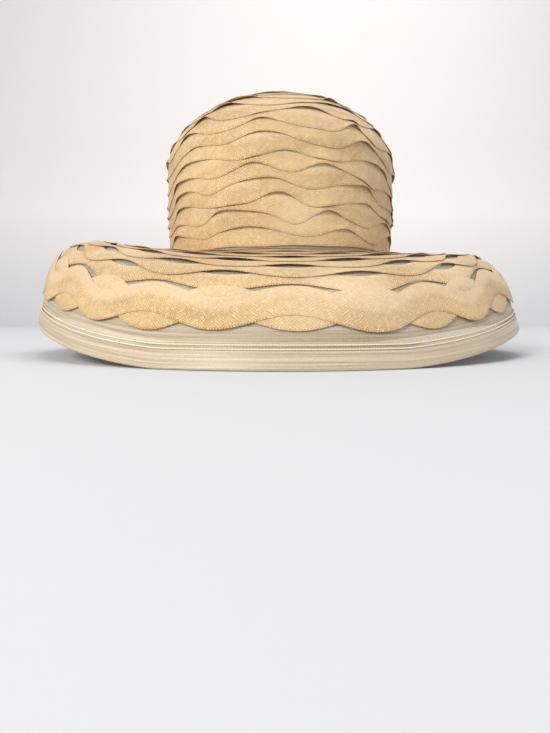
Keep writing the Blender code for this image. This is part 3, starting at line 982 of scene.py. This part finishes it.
def ribbon():
    azimuth = np.linspace(0, 2 * math.pi, CROWN_TURNS, endpoint=False) + SEAM
    radius = oval(azimuth, (HEAD_HALF[0] - BAND_INSET, HEAD_HALF[1] - BAND_INSET))[:, None]
    heights = np.linspace(BAND_LOW, BAND_HIGH, 8)
    sections = np.stack([radius + 0 * heights, heights + 0 * radius], -1)
    item = trim_object("inner_ribbon", round_the_head(sections, azimuth))
    item.data.flip_normals()
    item.data.materials.append(ribbon_brown)
    return thickened(item, BAND_THICK)


band = hand_over(ribbon(), "headband", "headband")
for form in (brim_form, crown_form):
    bpy.data.objects.remove(form)
print("ribbon from", BAND_LOW * 1000, "to", BAND_HIGH * 1000, "mm")

# %% [markdown]
# ## The cloth as it was cut
# Organza hardly stretches, so each sheet's flat area is the area of the form that it covers. The
# brim is a ring cut from a square. The crown is a band as long as the opening is round, taken in
# towards the top.

def form_area(grid):
    """The area of a form, in square metres."""
    radius = (grid[:-1, 1:, 0] + grid[:-1, :-1, 0]) / 2
    steps = np.linalg.norm(np.diff(grid[:-1], axis=1), axis=2)
    return float((radius * steps).sum() * 2 * math.pi / FORM_TURNS)


print("flat areas in square cm:", round(1e4 * form_area(brim_grid)),
      round(1e4 * form_area(crown_grid)))

# %% [markdown]
# ## Stage, light and camera
# A pale seamless paper sweeps up behind the hat. A key, a fill and a top light, all soft discs, and
# a pale sky keep the shadows gentle, and a fourth light brightens the paper behind. The camera
# stands in front at the photograph's angle, low over the floor.

# %% Backdrop
FLOOR_FRONT = -12.0
FLOOR_BACK = 1.3
SWEEP_RADIUS = 0.8
BACKDROP_TOP = 4.0
BACKDROP_HALF = 16.0
SWEEP_STEPS = 12
# The paper's colour is painted shade: darker and bluer down on the floor, lighter and warmer up the
# wall.
SHADED_UP_TO = 0.5                  # the height where the paper reaches its upper colour
PAPER_SHADED = (0.58, 0.59, 0.61, 1)
PAPER_LIT = (0.84, 0.82, 0.79, 1)


def backdrop():
    outline = [(FLOOR_FRONT, 0.0), (FLOOR_BACK, 0.0)]
    for step in range(1, SWEEP_STEPS + 1):
        turn = math.radians(90 * step / SWEEP_STEPS)
        outline.append((FLOOR_BACK + SWEEP_RADIUS * math.sin(turn),
                        SWEEP_RADIUS * (1 - math.cos(turn))))
    outline.append((FLOOR_BACK + SWEEP_RADIUS, BACKDROP_TOP))
    vertices = [(side, y, z) for y, z in outline for side in (-BACKDROP_HALF, BACKDROP_HALF)]
    faces = [(2 * i, 2 * i + 1, 2 * i + 3, 2 * i + 2) for i in range(len(outline) - 1)]
    mesh = bpy.data.meshes.new("backdrop")
    mesh.from_pydata(vertices, [], faces)
    mesh.shade_smooth()
    paper = bpy.data.materials.new("backdrop_paper")
    paper.use_nodes = True
    tree = paper.node_tree
    where = put(tree, "ShaderNodeTexCoord").outputs["Object"]
    up = put(tree, "ShaderNodeSeparateXYZ", {0: where}).outputs[2]
    # painted shade: the paper is darker towards the floor and lighter up the wall
    colour = mixed(tree, mapped(tree, up, 0.0, SHADED_UP_TO), PAPER_SHADED, PAPER_LIT)
    shader = tree.nodes["Principled BSDF"]
    tree.links.new(colour, shader.inputs["Base Color"])
    shader.inputs["Roughness"].default_value = 0.9
    mesh.materials.append(paper)
    item = added("backdrop", mesh)


backdrop()
print("backdrop sweeps up from y =", FLOOR_BACK)

# %% Lights
LIGHTS = (                          # name, place, aimed at, size, watts, colour
    ("key", (-0.8, -1.25, 0.78), (0, 0, 0.1), 0.6, 21, (1.0, 0.96, 0.89)),
    ("fill", (1.6, -1.0, 0.6), (0, 0, 0.1), 1.6, 6, (0.95, 0.97, 1.0)),
    ("top", (0.1, 0.4, 1.7), (0, 0, 0.1), 1.4, 6, (1.0, 0.98, 0.96)),
    ("wall", (0.3, 0.7, 1.9), (0, 2.1, 0.7), 1.8, 15, (1.0, 0.97, 0.93)),
)
SKY = (0.93, 0.95, 1.0, 1)
SKY_STRENGTH = 0.68


def light(name, place, aim, size, watts, colour):
    lamp = bpy.data.lights.new(name, "AREA")
    lamp.shape = "DISK"
    lamp.size = size
    lamp.energy = watts
    lamp.color = colour
    item = added(name, lamp)
    item.location = place
    item.rotation_euler = (Vector(aim) - Vector(place)).to_track_quat("-Z", "Y").to_euler()


for row in LIGHTS:
    light(*row)
world = bpy.data.worlds.new("soft_sky")
world.use_nodes = True
world.node_tree.nodes["Background"].inputs[0].default_value = SKY
world.node_tree.nodes["Background"].inputs[1].default_value = SKY_STRENGTH
bpy.context.scene.world = world
bpy.context.scene.view_settings.view_transform = "Standard"
print("lights:", [row[0] for row in LIGHTS])

# %% Camera
PICTURE = (550, 733)                # pixels
FOCUS_PIXELS = 550.0
SENSOR = 36.0
CAMERA_AT = (MIDDLE[0] - 0.004, -0.455, 0.026)
PITCH_DOWN = 5.0

lens = bpy.data.cameras.new("camera")
lens.sensor_fit = "AUTO"
lens.sensor_width = SENSOR
lens.lens = FOCUS_PIXELS / PICTURE[1] * SENSOR
lens.clip_start = 0.01
camera = added("camera", lens)
camera.location = CAMERA_AT
camera.rotation_euler = (math.radians(90 - PITCH_DOWN), 0, 0)
bpy.context.scene.camera = camera
print("camera lens in mm:", round(lens.lens, 1))
